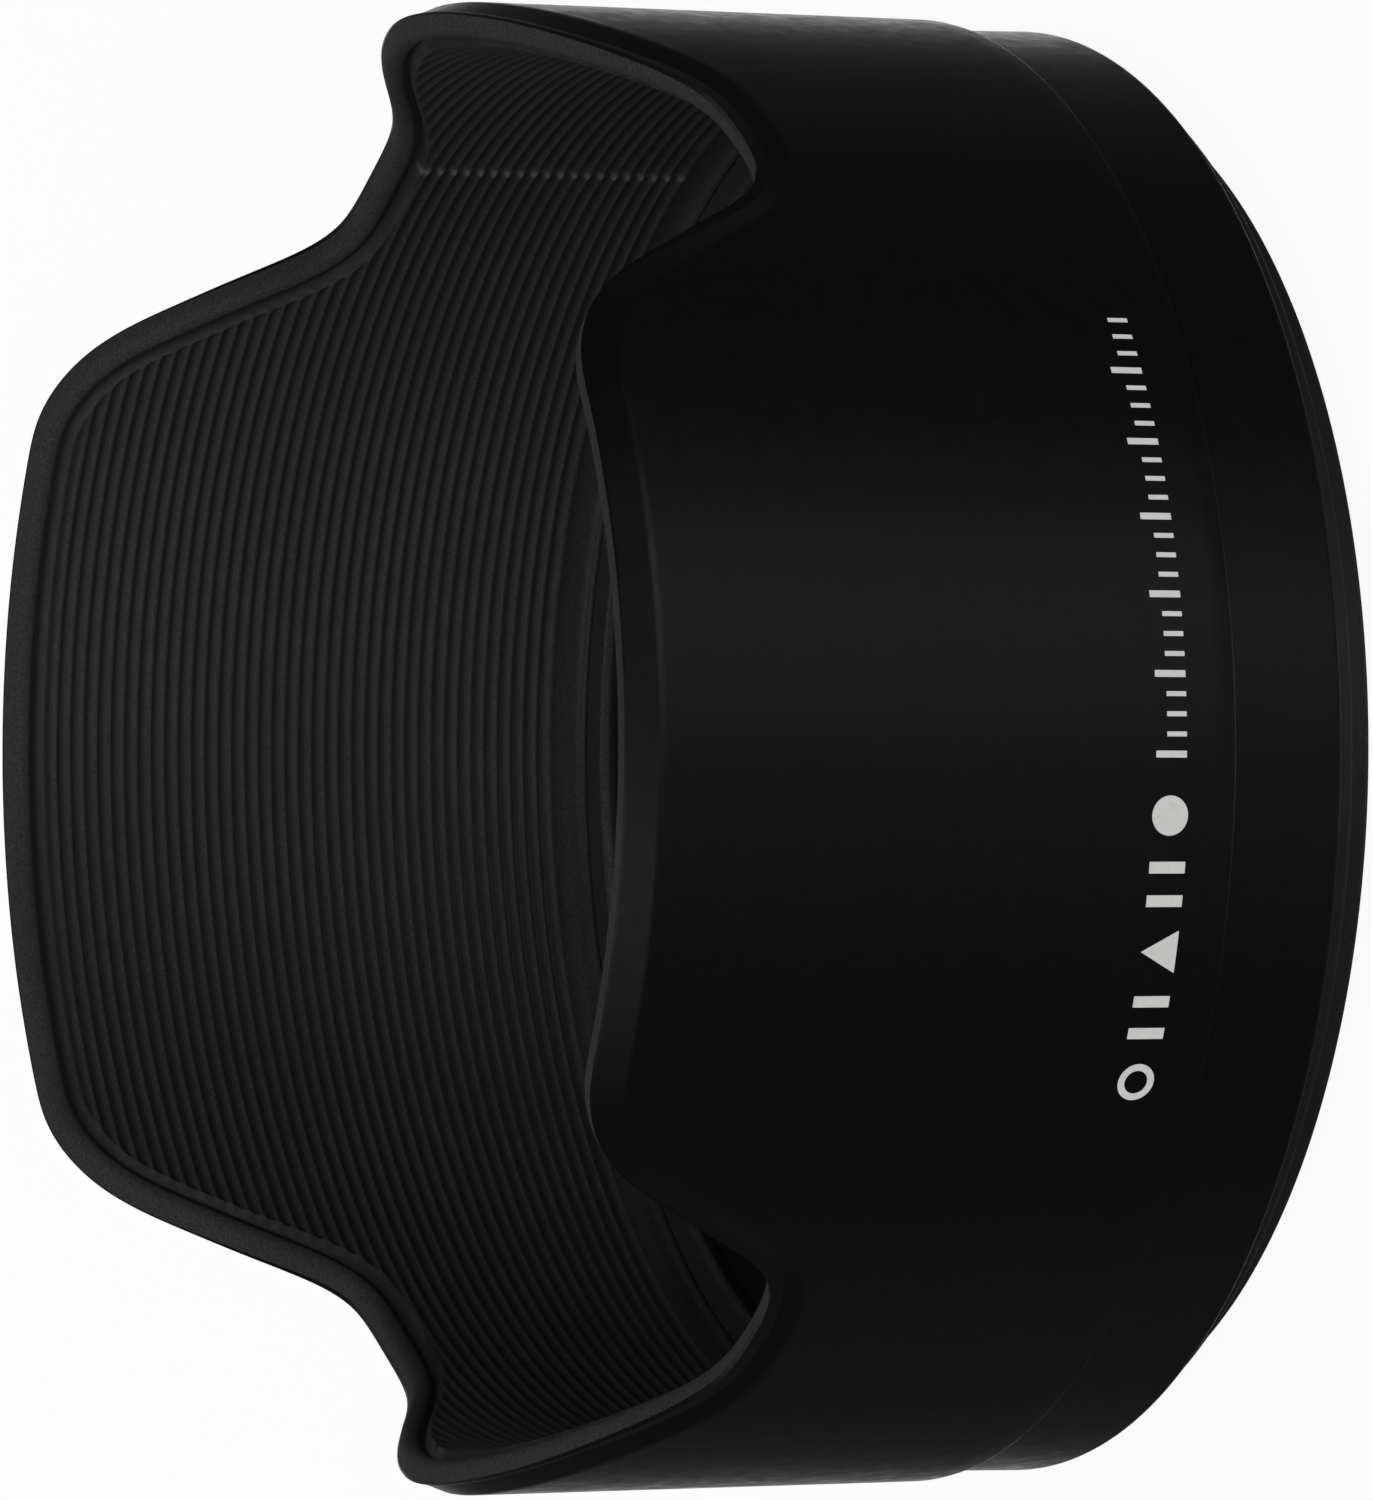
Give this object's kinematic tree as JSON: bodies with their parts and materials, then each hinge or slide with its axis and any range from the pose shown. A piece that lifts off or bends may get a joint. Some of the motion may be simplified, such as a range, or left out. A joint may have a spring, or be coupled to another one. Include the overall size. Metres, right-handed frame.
{
  "type": "lens hood",
  "caption": "Petal-shaped bayonet lens hood with a ribbed matte inside, a stepped rear collar and a press-to-release rotation lock.",
  "frame": {"origin": "on the optical axis, in the plane of the rear rim", "axes": "+Z along the optical axis from the lens towards the scene, long petals at +Y and -Y, short petals at +X and -X, lock on the +Y side, printed marks on the -Y side"},
  "size_m": [0.079, 0.0794, 0.045],
  "materials": {
    "satin_black_shell": "satin black moulded polycarbonate with a fine grain",
    "matte_trim": "dead-matte black",
    "matte_liner": "dead-matte black, finely ribbed",
    "ring_plastic": "satin black glass-filled plastic",
    "screw_steel": "blackened steel",
    "white_paint": "white pad-printed paint",
    "button_plastic": "satin black, grooved",
    "lever_plastic": "natural black acetal",
    "pin_steel": "ground steel",
    "spring_steel": "drawn spring wire",
    "cover_plastic": "matte black"
  },
  "bodies": {
    "hood": {"outer_shell": "satin_black_shell", "edge_trim": "matte_trim", "ribbed_liner": "matte_liner", "bayonet_ring": "ring_plastic", "ring_screws": "screw_steel", "index_triangle": "white_paint", "scale_ticks": "white_paint", "lock_circle_marks": "white_paint", "pivot_pin": "pin_steel", "latch_spring": "spring_steel", "latch_cover": "cover_plastic", "cover_screws": "screw_steel"},
    "latch": {"release_button": "button_plastic", "latch_lever": "lever_plastic"}
  },
  "joints": [
    {"name": "release_button_press", "type": "hinge", "parent": "hood", "child": "latch", "pos_m": [0, 0.0361, 0.0055], "axis": [0, 0, -1], "range_deg": [0, 3.6], "deforming": ["latch_spring"]}
  ]
}
